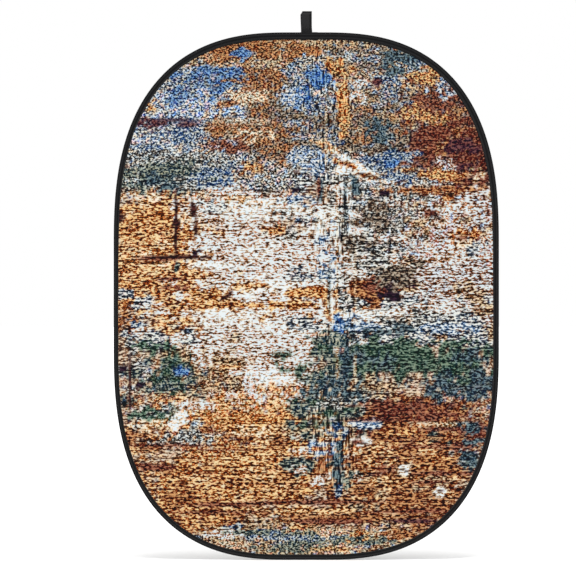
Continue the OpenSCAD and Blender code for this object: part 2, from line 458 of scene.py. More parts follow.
def shrink_material():
    s = Shader("shrink_tube", 0.55)
    matt = s.noise(s.add("TexCoord", {}, "Object"), 700, 2.0)
    s.link(s.mix(matt, rgb(24, 24, 25), rgb(38, 38, 40)), "Base Color")
    return s.material


# ------------------------------------------------------------ where the print's colours lie

SHADES = ("dark", "fringe", "mid", "light")

# The colours of each kind of weathering, as a screen shows them, darkest first, and how far
# its specks lean to the lighter ones
KINDS = {
    "pale": ((44, 18, 8), (204, 124, 54), (220, 208, 186), (228, 238, 240), 0.76),
    "streaked": ((36, 14, 8), (176, 100, 46), (188, 176, 158), (224, 234, 238), 0.55),
    "cream": ((56, 22, 6), (208, 138, 60), (228, 202, 158), (250, 240, 216), 0.57),
    "white": ((150, 110, 80), (226, 206, 170), (234, 236, 228), (240, 246, 247), 0.92),
    "tan": ((48, 14, 0), (186, 88, 14), (212, 150, 80), (250, 224, 172), 0.46),
    "orange": ((46, 10, 0), (176, 72, 2), (200, 126, 52), (248, 212, 150), 0.44),
    "rust": ((28, 4, 0), (122, 40, 4), (138, 70, 26), (216, 160, 106), 0.39),
    "red": ((18, 4, 6), (96, 20, 10), (102, 42, 28), (172, 112, 84), 0.38),
    "purple": ((14, 4, 18), (60, 12, 38), (70, 28, 40), (124, 76, 72), 0.38),
    "blue": ((4, 16, 34), (16, 64, 120), (76, 114, 148), (210, 218, 216), 0.42),
    "azure": ((2, 20, 52), (12, 72, 150), (40, 102, 172), (142, 182, 216), 0.43),
    "sky": ((18, 34, 54), (68, 118, 170), (144, 170, 192), (232, 238, 238), 0.55),
    "slate": ((12, 16, 24), (74, 90, 112), (136, 144, 150), (238, 240, 232), 0.47),
    "teal": ((8, 16, 20), (30, 62, 72), (66, 82, 80), (176, 180, 160), 0.39),
    "green": ((4, 20, 16), (22, 60, 46), (44, 74, 62), (126, 150, 128), 0.38),
    "navy": ((4, 12, 22), (22, 48, 64), (46, 70, 80), (120, 142, 148), 0.38),
    "grey": ((12, 10, 10), (78, 50, 34), (94, 76, 62), (186, 170, 148), 0.38),
    "soil": ((8, 8, 12), (74, 70, 66), (128, 126, 118), (232, 234, 228), 0.44),
    "brown": ((20, 8, 2), (116, 60, 20), (150, 110, 70), (236, 212, 172), 0.43),
    "dark": ((16, 4, 8), (44, 10, 12), (52, 18, 18), (76, 34, 28), 0.42),
    "ink": ((12, 4, 18), (26, 8, 28), (34, 14, 34), (54, 30, 48), 0.42),
}
SMALL_DAB = 50 * MM  # dabs whose lesser half size is up to this lie on top of the patches
EYE = np.array((0.3, 0.59, 0.11))  # how bright each primary looks
# Hues of these kinds lie among all the others: how much, and the seed of their places
MIXED_IN = (("azure", 0.50, 31), ("orange", 0.45, 57), ("purple", 0.25, 83), ("cream", 0.25, 12))
# Kinds that change only how the specks lie: in rows, in drips, or evenly
LIES = {"rows": {"rows": 1.0, "drips": 0.0}, "drips": {"drips": 0.8},
        "speckle": {"rows": 0.0, "drips": 0.0}}

# (kind, x, z, half width, half height in mm, number of small patches strewn over it)
SCATTERS = [
    ("brown", -200, 1960, 300, 60, 16), ("rust", -180, 1880, 160, 120, 16),
    ("azure", -420, 1840, 140, 70, 14), ("sky", -440, 1760, 180, 80, 14),
    ("slate", -550, 1660, 200, 140, 22), ("blue", -500, 1600, 220, 100, 12),
    ("blue", 20, 1780, 90, 200, 16), ("soil", 140, 1860, 160, 120, 16),
    ("blue", 280, 1880, 120, 80, 12), ("grey", 260, 1760, 140, 160, 20),
    ("brown", 340, 1800, 160, 140, 16), ("blue", 320, 1600, 120, 100, 14),
    ("red", 580, 1620, 140, 160, 20), ("rust", 500, 1660, 160, 200, 22),
    ("grey", -140, 1620, 280, 120, 26), ("rust", -240, 1620, 200, 100, 14),
    ("slate", -100, 1520, 280, 80, 18), ("blue", -400, 1500, 120, 60, 10),
    ("teal", -600, 1470, 160, 60, 14), ("grey", -560, 1500, 160, 60, 12),
    ("orange", -580, 1220, 150, 240, 30), ("cream", -540, 1280, 160, 160, 16),
    ("slate", -580, 960, 140, 120, 14), ("pale", -500, 980, 160, 120, 14),
    ("pale", -100, 1100, 340, 340, 50), ("tan", -100, 1040, 340, 120, 16),
    ("soil", -20, 1360, 160, 100, 12), ("slate", 20, 1200, 100, 200, 12),
    ("soil", 280, 1240, 180, 240, 34), ("pale", 260, 1240, 180, 240, 20),
    ("pale", 580, 1150, 180, 300, 20), ("brown", 560, 1160, 180, 300, 34),
    ("slate", 480, 920, 240, 80, 18), ("navy", 400, 900, 240, 60, 10),
    ("green", 300, 770, 420, 80, 26), ("navy", 400, 720, 300, 80, 16),
    ("teal", 100, 660, 140, 140, 18), ("brown", 220, 640, 160, 60, 12),
    ("teal", -560, 700, 140, 120, 18), ("brown", -380, 740, 120, 80, 14),
    ("pale", -140, 740, 160, 120, 20), ("tan", -240, 620, 220, 50, 12),
    ("soil", -520, 540, 160, 80, 14), ("rust", -400, 420, 300, 100, 24),
    ("teal", 80, 440, 140, 140, 20), ("pale", 40, 420, 140, 120, 12),
    ("red", 440, 460, 220, 160, 22), ("tan", 400, 400, 240, 140, 12),
    ("teal", 580, 460, 100, 140, 12), ("brown", 340, 260, 260, 120, 20),
    ("tan", -100, 300, 500, 140, 34), ("rust", 0, 200, 560, 100, 40),
    ("brown", 40, 100, 340, 50, 16), ("blue", -100, 90, 200, 30, 5),
    ("cream", 100, 70, 300, 40, 10),
]
# (kind, x, z, half width, half height in mm, strength, and the slope of a slanting one);
# the small ones lie on top
DABS = [
    # Broad areas, top to bottom
    ("speckle", 0, 1780, 1000, 320, 1), ("rows", 0, 1060, 1200, 420, 0.9),
    ("rows", 0, 300, 1200, 320, 0.9), ("speckle", 0, 40, 600, 100, 0.9),
    ("brown", 0, 1980, 600, 120, 0.9), ("grey", 0, 1720, 800, 220, 0.9),
    ("sky", -460, 1780, 220, 120, 0.8), ("blue", -420, 1850, 170, 70, 0.9),
    ("blue", 20, 1800, 90, 170, 0.9), ("slate", -560, 1680, 240, 220, 0.9),
    ("soil", -50, 1500, 400, 80, 0.8), ("red", 560, 1660, 260, 260, 0.95),
    ("tan", -560, 1160, 280, 360, 0.95), ("pale", -140, 1140, 360, 340, 1),
    ("pale", -60, 920, 440, 140, 0.9), ("soil", 280, 1220, 200, 300, 0.9),
    ("streaked", 580, 1160, 260, 340, 1), ("slate", 460, 920, 340, 90, 0.8),
    ("pale", -150, 740, 180, 150, 0.9), ("brown", -420, 740, 200, 120, 0.8),
    ("tan", -280, 520, 540, 130, 0.9), ("rust", 420, 500, 340, 140, 0.9),
    ("brown", 60, 500, 200, 160, 0.8), ("orange", -200, 280, 560, 180, 0.9),
    ("rust", 380, 260, 340, 160, 0.9), ("brown", 0, 80, 600, 80, 0.8),
    ("drips", 120, 1200, 90, 500, 0.45), ("drips", 100, 450, 100, 240, 0.6),
    ("drips", 80, 1780, 100, 200, 0.5),
    # Top strip
    ("rust", -220, 1990, 260, 50, 0.8), ("azure", -380, 1870, 110, 55, 1),
    ("blue", -470, 1830, 90, 60, 1), ("sky", -480, 1770, 160, 55, 0.9),
    ("azure", -250, 1970, 50, 30, 0.8), ("blue", 10, 1850, 75, 130, 0.95),
    ("azure", 45, 1875, 45, 45, 1), ("azure", -20, 1800, 40, 50, 0.8),
    ("rust", -190, 1860, 120, 60, 0.9), ("red", -210, 1810, 70, 18, 1),
    ("orange", 145, 1760, 30, 140, 0.9), ("orange", 130, 1920, 50, 40, 0.7),
    ("pale", 200, 1840, 35, 60, 0.7), ("blue", 320, 1870, 70, 35, 0.7),
    ("blue", 420, 1940, 40, 50, 0.9), ("grey", 260, 1950, 200, 60, 0.9),
    ("orange", 460, 1880, 60, 35, 0.9), ("purple", 275, 1860, 25, 16, 1),
    ("sky", 550, 1830, 70, 40, 0.6),
    # Upper left
    ("sky", -580, 1640, 140, 60, 0.7), ("blue", -590, 1580, 80, 40, 0.8),
    ("blue", -450, 1660, 80, 50, 0.7), ("soil", -500, 1550, 240, 50, 0.8),
    ("teal", -600, 1480, 160, 50, 1), ("soil", -500, 1470, 160, 50, 0.8),
    ("blue", -370, 1500, 100, 45, 0.9), ("ink", -540, 1713, 120, 10, 0.7),
    ("purple", -600, 1700, 70, 22, 0.7), ("purple", -460, 1695, 50, 12, 0.8),
    ("rust", -240, 1660, 190, 70, 0.9), ("red", -300, 1610, 110, 30, 0.7),
    ("orange", -620, 1770, 50, 30, 0.7), ("cream", -240, 1710, 140, 12, 0.6),
    # Upper right
    ("orange", 460, 1740, 100, 50, 0.7), ("red", 570, 1660, 150, 100, 0.9),
    ("red", 660, 1540, 100, 80, 0.9), ("purple", 600, 1610, 70, 35, 0.8),
    ("purple", 620, 1530, 50, 20, 0.6), ("orange", 520, 1500, 100, 30, 0.8),
    ("grey", 320, 1680, 90, 120, 0.8), ("blue", 345, 1560, 70, 45, 1),
    ("azure", 335, 1545, 35, 20, 0.8), ("rust", 220, 1690, 60, 100, 0.7),
    ("blue", 80, 1640, 80, 80, 0.7), ("sky", 20, 1560, 90, 50, 0.7),
    # Left ripples
    ("orange", -600, 1320, 150, 90, 0.8), ("pale", -420, 1380, 100, 40, 0.7),
    ("dark", -508, 1310, 7, 160, 1), ("dark", -507, 1310, 18, 24, 1),
    ("dark", -430, 1260, 10, 70, 1), ("ink", -424, 1212, 26, 30, 1),
    ("red", -580, 1174, 100, 12, 0.9), ("dark", -486, 1179, 130, 9, 1),
    ("dark", -730, 1333, 22, 22, 1), ("teal", -505, 1140, 15, 20, 0.9),
    ("dark", -300, 1036, 14, 12, 1, 0.8), ("dark", -322, 1020, 20, 10, 1, 0.8),
    ("orange", -380, 1035, 80, 20, 1), ("red", -530, 1094, 60, 9, 1),
    ("white", -380, 1145, 100, 18, 0.9), ("orange", -620, 1050, 140, 60, 0.8),
    ("orange", -360, 990, 140, 30, 0.7), ("rust", -690, 930, 50, 60, 0.7),
    ("red", -500, 1060, 80, 14, 0.7), ("blue", -660, 920, 30, 20, 0.8),
    # Pale middle
    ("orange", -122, 1284, 60, 20, 0.9), ("ink", -44, 1440, 20, 14, 1),
    ("white", -160, 1060, 140, 40, 0.7), ("white", -200, 1200, 120, 50, 0.5),
    ("orange", 20, 1040, 120, 25, 0.9), ("cream", -240, 1400, 140, 30, 0.5),
    ("orange", -80, 990, 200, 20, 0.7), ("white", -100, 900, 200, 30, 0.5),
    ("azure", 131, 920, 30, 45, 1), ("teal", 100, 860, 90, 35, 0.8),
    ("sky", 70, 1180, 50, 120, 0.5), ("white", 60, 1310, 60, 50, 0.6),
    ("pale", -240, 1350, 150, 60, 0.9), ("pale", -360, 1230, 110, 40, 0.9),
    ("navy", 55, 1440, 12, 50, 1), ("red", 48, 1450, 7, 45, 0.9),
    # Dirty middle right
    ("soil", 300, 1260, 130, 140, 0.9), ("navy", 190, 1460, 20, 45, 1),
    ("soil", 420, 1430, 120, 50, 0.8), ("grey", 280, 1340, 120, 50, 0.7),
    ("rust", 270, 1050, 100, 50, 0.9), ("ink", 325, 1055, 44, 44, 1), ("red", 265, 1060, 35, 40, 1),
    ("red", 490, 1350, 34, 14, 1), ("dark", 500, 1345, 18, 9, 1), ("red", 630, 1255, 45, 13, 1),
    ("dark", 650, 1248, 18, 8, 1), ("orange", 620, 1270, 70, 20, 0.8),
    ("cream", 620, 1225, 60, 12, 0.9), ("purple", 400, 1080, 50, 30, 0.5),
    ("pale", 580, 1180, 120, 35, 0.8), ("pale", 600, 1370, 100, 30, 0.8),
    ("pale", 520, 980, 180, 30, 0.7), ("soil", 420, 940, 160, 40, 0.6),
    ("sky", 560, 900, 160, 25, 0.7), ("rust", 500, 1440, 220, 20, 0.8),
    # A slanting chain of white-haloed chips
    ("cream", 85, 1610, 60, 20, 1, -0.5), ("white", 190, 1540, 90, 18, 1, -0.6),
    ("white", 250, 1492, 90, 20, 1, -0.3), ("white", 140, 1520, 45, 22, 1),
    ("orange", 70, 1614, 34, 12, 1, -0.3), ("dark", 78, 1611, 16, 7, 1, -0.4),
    ("orange", 150, 1542, 50, 14, 1, -0.3), ("red", 155, 1540, 26, 7, 1, -0.3),
    ("orange", 245, 1494, 65, 11, 1, -0.22), ("dark", 225, 1499, 28, 5, 1, -0.2),
    ("dark", 277, 1486, 24, 7, 1, -0.3), ("ink", 305, 1430, 24, 14, 0.9),
    # Drips
    ("cream", 77, 1660, 6, 160, 0.7), ("cream", 120, 1240, 5, 320, 0.6),
    ("cream", 190, 1100, 5, 260, 0.5), ("cream", 120, 700, 7, 130, 0.8),
    ("cream", 190, 700, 7, 120, 0.8), ("navy", 155, 760, 14, 140, 0.8),
    ("navy", 150, 1400, 8, 100, 0.7), ("white", 170, 1300, 6, 220, 0.6),
    ("navy", 90, 1050, 8, 120, 0.5), ("white", 100, 1000, 6, 140, 0.7),
    # Green band
    ("green", 220, 780, 260, 65, 1), ("green", 560, 770, 240, 70, 1),
    ("navy", 620, 690, 160, 60, 0.9), ("green", 360, 810, 140, 30, 0.8),
    ("green", -530, 720, 90, 80, 0.95), ("azure", -484, 735, 30, 22, 1),
    ("green", -600, 830, 100, 40, 0.7), ("brown", -340, 780, 70, 50, 0.7),
    ("ink", -714, 743, 18, 20, 1), ("ink", -650, 685, 22, 14, 1), ("dark", -687, 680, 6, 120, 0.9),
    ("soil", -660, 760, 60, 80, 0.8), ("orange", -307, 751, 55, 12, 1),
    ("white", -140, 710, 100, 60, 0.7), ("white", -507, 545, 45, 34, 1),
    ("pale", -440, 600, 100, 25, 0.8), ("green", -600, 560, 100, 40, 0.7),
    ("soil", -480, 470, 160, 30, 0.7), ("orange", -240, 545, 220, 30, 0.9),
    ("green", 80, 580, 140, 60, 0.8), ("soil", 160, 620, 140, 40, 0.7),
    ("cream", 40, 553, 40, 13, 1), ("dark", 30, 553, 22, 6, 1), ("red", 300, 600, 100, 30, 0.7),
    # Lower rust
    ("red", 440, 570, 160, 40, 0.7), ("cream", 500, 525, 140, 12, 0.8),
    ("sky", 240, 530, 70, 24, 0.95), ("blue", 120, 500, 50, 40, 0.7),
    ("purple", 384, 478, 60, 18, 1), ("red", 540, 508, 120, 10, 0.9),
    ("white", 215, 462, 40, 22, 1), ("red", 200, 460, 26, 10, 1), ("dark", 222, 454, 14, 6, 1),
    ("navy", 660, 470, 60, 30, 0.8), ("soil", 620, 400, 80, 30, 0.6), ("red", -600, 360, 90, 16, 1),
    ("sky", 60, 430, 60, 40, 0.6), ("navy", 125, 360, 25, 100, 0.8),
    ("blue", 125, 270, 18, 35, 0.9), ("teal", 160, 320, 30, 50, 0.6), ("red", 550, 337, 140, 10, 1),
    ("red", 480, 302, 80, 8, 0.9), ("red", 420, 190, 160, 10, 0.9),
    ("purple", 420, 151, 120, 10, 0.9), ("red", -300, 215, 180, 10, 0.8),
    ("red", 20, 225, 200, 10, 0.8), ("red", 100, 150, 180, 14, 0.9),
    ("tan", -300, 400, 200, 30, 0.7), ("tan", 100, 190, 300, 14, 0.7),
    ("grey", 240, 210, 80, 30, 0.5),
    # Foot
    ("pale", -300, 100, 120, 22, 0.8), ("teal", 200, 75, 160, 22, 0.8),
    ("teal", -20, 75, 100, 35, 0.9), ("blue", -150, 100, 60, 22, 1),
    ("blue", -220, 90, 30, 15, 0.9), ("teal", -50, 45, 160, 18, 0.7),
    ("orange", 100, 42, 90, 10, 0.9), ("cream", -300, 60, 80, 12, 0.7),
    # Patches over parts of the above
    ("cream", -620, 520, 80, 30, 0.7), ("pale", -400, 790, 80, 40, 0.6),
    ("white", -280, 960, 180, 25, 0.6), ("white", 220, 950, 100, 30, 0.8),
    ("grey", 360, 1120, 100, 50, 0.8), ("grey", 180, 1220, 100, 50, 0.6),
    ("soil", -60, 1370, 80, 40, 0.6), ("teal", -530, 1520, 140, 50, 0.8),
    ("cream", -240, 1800, 80, 35, 0.8), ("navy", 360, 1950, 100, 50, 0.8),
    ("navy", 120, 660, 140, 50, 0.7), ("red", 650, 510, 60, 40, 0.9),
    ("navy", 640, 380, 60, 40, 0.8), ("navy", 300, 1660, 80, 50, 0.7),
    ("white", -220, 1360, 100, 40, 0.7), ("blue", 360, 1500, 70, 35, 0.8),
    ("sky", -70, 1800, 50, 50, 0.7), ("red", 500, 1780, 80, 40, 0.6),
    ("red", 500, 1660, 60, 50, 0.8), ("tan", -220, 1070, 80, 25, 0.6),
    ("orange", 500, 380, 80, 30, 0.8), ("rust", 360, 220, 90, 30, 0.7),
    ("rust", -500, 240, 70, 40, 0.7), ("rust", 360, 100, 80, 30, 0.7),
    ("rust", 360, 520, 100, 30, 0.6), ("slate", 0, 920, 70, 35, 0.7),
    ("slate", 600, 950, 80, 30, 0.6), ("navy", -570, 1470, 80, 35, 0.7),
    ("orange", -240, 530, 100, 20, 0.6), ("rust", 530, 370, 80, 40, 0.7),
    ("white", -70, 1370, 90, 35, 0.6), ("sky", -30, 1400, 80, 25, 0.6),
    ("cream", -220, 1660, 90, 40, 0.5), ("cream", -200, 1810, 80, 30, 0.5),
    ("orange", -220, 1520, 80, 30, 0.5), ("white", -360, 940, 100, 30, 0.5),
    ("white", -220, 930, 80, 35, 0.6), ("sky", 220, 920, 90, 35, 0.6),
    ("white", 360, 960, 80, 20, 0.5), ("cream", -220, 500, 90, 30, 0.6),
    ("grey", 360, 1080, 80, 40, 0.6), ("orange", 360, 490, 80, 35, 0.5),
    ("pale", -360, 1080, 90, 35, 0.6), ("orange", 220, 90, 70, 30, 0.5),
    ("slate", 660, 1220, 50, 40, 0.6), ("navy", 640, 510, 60, 30, 0.7),
    ("cream", 660, 1500, 50, 30, 0.5), ("navy", 640, 790, 60, 35, 0.7),
    ("slate", -360, 1380, 70, 30, 0.6), ("blue", 360, 1800, 70, 35, 0.5),
    ("brown", -70, 500, 60, 30, 0.4), ("cream", 80, 500, 50, 30, 0.5),
    # Thin streaks low down, most of them red, and two slotted chips on the right
    ("red", -550, 445, 200, 9, 0.8), ("red", -300, 430, 160, 6, 0.7),
    ("rust", 450, 475, 240, 8, 0.8), ("red", 480, 440, 200, 7, 0.7), ("red", 50, 225, 340, 8, 0.7),
    ("rust", 200, 165, 300, 9, 0.8), ("red", -350, 185, 200, 7, 0.7),
    ("rust", -200, 300, 220, 6, 0.6), ("red", 300, 545, 260, 7, 0.7),
    ("red", 350, 600, 220, 6, 0.7), ("rust", 200, 355, 160, 6, 0.6),
    ("rust", -480, 345, 160, 6, 0.6), ("red", 340, 185, 180, 6, 0.7),
    ("blue", -20, 85, 140, 14, 0.7), ("teal", -160, 105, 160, 14, 0.7),
    ("orange", 400, 1515, 40, 12, 0.9), ("dark", 410, 1512, 22, 5, 0.9),
    ("orange", 560, 1405, 40, 14, 0.9, -0.3), ("dark", 570, 1405, 20, 6, 0.9, -0.3),
    ("dark", -440, 1360, 14, 35, 0.8),
    # Two pale discs, like washers, with dark slots
    ("brown", 382, 348, 32, 32, 0.8), ("brown", 523, 267, 32, 32, 0.8),
    ("white", 382, 348, 26, 26, 1), ("white", 523, 267, 26, 26, 1), ("dark", 374, 352, 10, 5, 1),
    ("dark", 390, 343, 10, 5, 1), ("dark", 523, 268, 15, 5, 1),
]


def in_metres(kind, x, z, half_x, half_z, *rest):
    """A row of SCATTERS or DABS, with its lengths in metres."""
    return kind, x / 1000, z / 1000, half_x / 1000, half_z / 1000, *rest


def small_patches():
    """Small flat patches, strewn over each place in SCATTERS."""
    draw = random.Random(7)
    for kind, cx, cz, rx, rz, count in (in_metres(*row) for row in SCATTERS):
        for _ in range(count):
            size = draw.uniform(10, 32) * MM
            place = (cx + draw.uniform(-rx, rx), cz + draw.uniform(-rz, rz))
            yield kind, *place, size * draw.uniform(1.0, 2.4), size, draw.uniform(0.4, 0.9)


def lay_dab(state, x, z, dab, index):
    """Turns the shades under one ragged-edged dab towards those of its kind."""
    kind, cx, cz, rx, rz, strength, *slope = dab
    target = LIES[kind] if kind in LIES else dict(zip((*SHADES, "level"), KINDS[kind]))
    near = np.flatnonzero((np.abs(x - cx) < 2 * rx) & (np.abs(z - cz) < 2 * rz + 0.05))
    small = min(rx, rz)
    broken = 0.75 if small > 0.03 else 0.2 + 0.15 * (small > 0.013)
    ragged = noise_at(x[near] * 0.6, z[near], min(1.1 / small, 50), index, 4) * broken
    middle_z = cz + sum(slope) * (x[near] - cx)
    distance = np.hypot((x[near] - cx) / rx, (z[near] - middle_z) / rz) + ragged
    weight = strength * (1 - smooth(0.55, 1.25, distance))
    if small > 0.013:
        crumbs = noise_at(x[near] * 0.8, z[near], 52, index + 500, 2)
        weight = smooth(0.36, 0.64, weight + 3.0 * crumbs * weight * (1 - weight))
    for key, value in target.items():
        change = np.atleast_1d(np.array(value, float)) - state[key][near]
        state[key][near] += weight[:, None] * change


def mix_specks(state, x, z):
    """Scatters specks with the hues of other kinds among all the rest, as bright as those
    around them, fewer where the print is pale or lies in rows."""
    busy = 1 - 0.65 * smooth(0.55, 0.75, state["level"][:, 0])
    busy *= 1 - 0.7 * state["rows"][:, 0]
    for kind, share, seed in MIXED_IN:
        specks = smooth(0.20, 0.50, noise_at(x * 0.8, z, 50, seed, 2))
        weight = (share * busy * specks)[:, None]
        for key, value in zip(SHADES, np.array(KINDS[kind][:4], float)):
            brightness = state[key] @ EYE / (value @ EYE)
            state[key] += weight * (brightness[:, None] * value - state[key])


def print_zones(x, z):
    """The print's four shades, and how its specks lie, at each point of the cloth."""
    start = {"dark": (60, 34, 24), "fringe": (160, 110, 70), "mid": (176, 150, 122),
             "light": (232, 214, 188), "rows": 0.5, "drips": 0.0, "level": 0.45}
    state = {key: np.tile(np.atleast_1d(np.array(value, float)), (len(x), 1))
             for key, value in start.items()}
    dabs = [in_metres(*row) for row in DABS]
    broad = [dab for dab in dabs if min(dab[3:5]) > SMALL_DAB]
    small = [dab for dab in dabs if min(dab[3:5]) <= SMALL_DAB]
    for index, dab in enumerate([*broad, *small_patches()]):
        lay_dab(state, x, z, dab, index)
    mix_specks(state, x, z)
    for index, dab in enumerate(small):
        lay_dab(state, x, z, dab, 2000 + index)
    return state


def paint_cloth(obj, x, z):
    """Stores the print on the cloth's points, for its shader to read."""
    state = print_zones(x, z)
    one = np.ones((len(x), 1))
    for name in SHADES:
        screen = np.clip(state[name], 0, 255) / 255
        linear = INK * np.where(screen < 0.04, screen / 12.92, ((screen + 0.055) / 1.055) ** 2.4)
        field = obj.data.attributes.new(name, "FLOAT_COLOR", "POINT")
        field.data.foreach_set("color", np.hstack([linear, one]).astype(np.float32).ravel())
    lie = np.hstack([state[key] for key in ("rows", "drips", "level")])
    field = obj.data.attributes.new("lie", "FLOAT_VECTOR", "POINT")
    field.data.foreach_set("vector", lie.astype(np.float32).ravel())


# ------------------------------------------------------------ the two cloths


def cloth_points(upper):
    """Rows of points across the cloth from the split height to the rim's tunnel."""
    corner, _ = corner_rows(cloth_inset, 140)
    side = half_w - cloth_inset
    if upper:
        straight = np.arange(split_z, centre_z + FLAT_Z - GRID / 2, GRID)
        corner_z = centre_z + corner[:, 1]
    else:
        straight = np.arange(split_z, centre_z - FLAT_Z + GRID / 2, -GRID)
        corner_z = centre_z - corner[:, 1]
    row_z = np.r_[straight, corner_z]
    row_half = np.r_[np.full(len(straight), side), corner[:, 0]]
    across = np.linspace(-1, 1, int(2 * side / GRID) | 1)
    return row_half[:, None] * across, np.repeat(row_z[:, None], len(across), axis=1)


def relief(x, z):
    """How far the stretched cloth stands out of its plane: a slack billow, and puckers
    that run in from the seam. It is flat under the binding."""
    angle = angle_of(x, z)
    p, _ = rim_path(20 * MM)
    edge_angle = angle_of(p[:, 0], p[:, 1])
    order = np.argsort(edge_angle)
    reach = np.hypot(p[:, 0], p[:, 1] - centre_z)[order]
    edge = np.interp(angle, edge_angle[order], reach, period=2 * math.pi)
    inside = edge - np.hypot(x, z - centre_z)
    round_x, round_z = np.cos(angle), np.sin(angle)
    tuck = noise_at(round_x, round_z, 11, 4, 2) + 0.6 * noise_at(round_x, round_z, 26, 2, 2)
    pucker = 2.6 * MM * tuck * smooth(30 * MM, 60 * MM, inside) * np.exp(-inside / 0.16)
    billow = 4.5 * MM * noise_at(x, z, 1.6, 5, 2) * smooth(30 * MM, 300 * MM, inside)
    return pucker + billow


def cloth_half(name, upper, side, material):
    """Half of one cloth, a closed thin sheet on the side (-1 front, 1 back) it faces."""
    x, z = cloth_points(upper)
    rows, columns = x.shape
    x, z = x.ravel(), z.ravel()
    out = relief(x, z)
    gap = 0.02 * MM
    face = np.stack([x, out + side * cloth_t, z], 1)
    lining = np.stack([x, out + side * gap, z], 1)
    count = len(face)
    turned = (side < 0) == upper
    faces = []
    for i in range(rows - 1):
        for j in range(columns - 1):
            a = i * columns + j
            quad = (a, a + 1, a + columns + 1, a + columns)
            faces.append(quad if turned else quad[::-1])
            behind = tuple(k + count for k in quad)
            faces.append(behind[::-1] if turned else behind)
    rim = [*range(columns), *range(2 * columns - 1, count, columns)]
    rim += [*range(count - 2, count - columns - 1, -1), *range(count - 2 * columns, 0, -columns)]
    for a, b in zip(rim, rim[1:] + rim[:1]):
        quad = (b, a, a + count, b + count)
        faces.append(quad if turned else quad[::-1])
    obj = new_piece(name, np.vstack([face, lining]), faces, material)
    sharp_edges(obj)
    return obj, np.r_[x, x], np.r_[z, z], rows, columns


def flat_area(x, z, rows, columns):
    """The area of the cut, from its rows of points."""
    width = 2 * x[columns - 1 :: columns][:rows]
    height = z[::columns][:rows]
    return float(abs(np.sum((width[1:] + width[:-1]) / 2 * np.diff(height))))


def make_cloths():
    for side, label, material in ((-1, "front", print_material()), (1, "back", back_material())):
        for upper, half in HALVES:
            name = f"{label}_cloth_{half}_half"
            obj, x, z, rows, columns = cloth_half(name, upper, side, material)
            if side < 0:
                paint_cloth(obj, x, z)
            flat_area(x, z, rows, columns)
            bends(obj, upper, f"{label}_cloth_{half}", f"{label}_cloth_middle")


# ------------------------------------------------------------ the binding


def tape_face(width, pucker):
    """Half of the folded tape's outer path, from its sewn edge to the middle of the rim,
    as (inset, height above the panel's middle plane)."""
    low = cloth_t + 0.05 * MM
    seam = cloth_t + TAPE_T
    shoulder = 3.2 * MM
    foot = width - 4.6 * MM
    slope = np.linspace(0, 1, 8)
    rise = (0.5 - 0.5 * np.cos(np.pi * slope)) ** 0.85
    slope_inset = foot + (shoulder - foot) * slope
    slope_y = seam + 0.35 * MM + (rim_y - 0.15 * MM - seam - 0.35 * MM) * rise
    slope_y += pucker * np.sin(np.pi * slope)
    hem = [(width, low), (width + 0.02 * MM, seam - 0.25 * MM), (width - 0.5 * MM, seam + 0.1 * MM),
           (width - 1.8 * MM, seam + 0.3 * MM), (width - STITCH_IN, seam)]
    edge = [(1.9 * MM, rim_y - 0.2 * MM), (0.8 * MM, rim_y - 0.9 * MM),
            (0.2 * MM, rim_y - 2.2 * MM), (0.0, rim_y - 3.8 * MM), (0.0, rim_y * 0.12)]
    return np.vstack([hem, np.stack([slope_inset, slope_y], 1), edge])


def tape_section(front_w, back_w, front_pucker=0.0, back_pucker=0.0):
    """The closed section of the tape, folded over the rim from front to back."""
    front = tape_face(front_w, front_pucker) * (1, -1)
    back = tape_face(back_w, back_pucker)[::-1]
    outer = np.vstack([front, back])
    inner = (outer + TAPE_T * inward(outer))[::-1]
    lower = np.where(inner[:, 1] < 0, -1, 1) * (cloth_t + 0.02 * MM)
    on_cloth = (inner[:, 0] > cloth_inset) & (np.abs(inner[:, 1]) < cloth_t)
    inner[:, 1] = np.where(on_cloth, lower, inner[:, 1])
    return np.vstack([outer, inner])


def lap_section(front_w, back_w, t):
    """The closed section of a second ply, t thick, that lies over the tape."""
    under = tape_section(front_w, back_w)
    under = under[: len(under) // 2]
    into = inward(under)
    return np.vstack([under - t * into, (under - 0.03 * MM * into)[::-1]])


def make_binding(material):
    for upper, half in HALVES:
        p, n = half_path(upper, RIM_STEP)
        angle = angle_of(p[:, 0], p[:, 1])
        run = run_length(p)
        front_w = front_binding_w(angle)
        seed = 1 if upper else 2
        calm = smooth(0, 60 * MM, np.minimum(run, run[-1] - run))
        tuck = calm * 0.55 * MM
        front_tuck = tuck * noise_at(run, run * 0, 38, seed, 2)
        back_tuck = tuck * noise_at(run, run * 0, 38, seed + 5, 2)
        sections = [tape_section(w, BACK_BINDING_W, f, b)
                    for w, f, b in zip(front_w, front_tuck, back_tuck)]
        obj = sweep(f"binding_tape_{half}_half", p, n, sections, material)
        bends(obj, upper, f"binding_{half}", "binding_middle")


def make_lap(material):
    """The tape's turned-under end, sewn over its start along the top edge."""
    xs = np.linspace(lap_high.x, lap_low.x, 25)
    top = np.stack([xs, np.full_like(xs, rim_high.z)], 1)
    facing = np.tile((0.0, 1.0), (len(xs), 1))
    ends = np.minimum(xs - lap_low.x, lap_high.x - xs)
    thick = 0.25 * MM + (TAPE_T - 0.25 * MM) * smooth(0, 1.5 * MM, ends)
    front_w = front_binding_w(angle_of(xs, rim_high.z)) + 0.4 * MM
    sections = [lap_section(w, BACK_BINDING_W + 0.4 * MM, t) for w, t in zip(front_w, thick)]
    obj = sweep("tape_lap_ply", top, facing, sections, material)
    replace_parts(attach(obj, "upper_part"), "tape_lap")


# ------------------------------------------------------------ thread


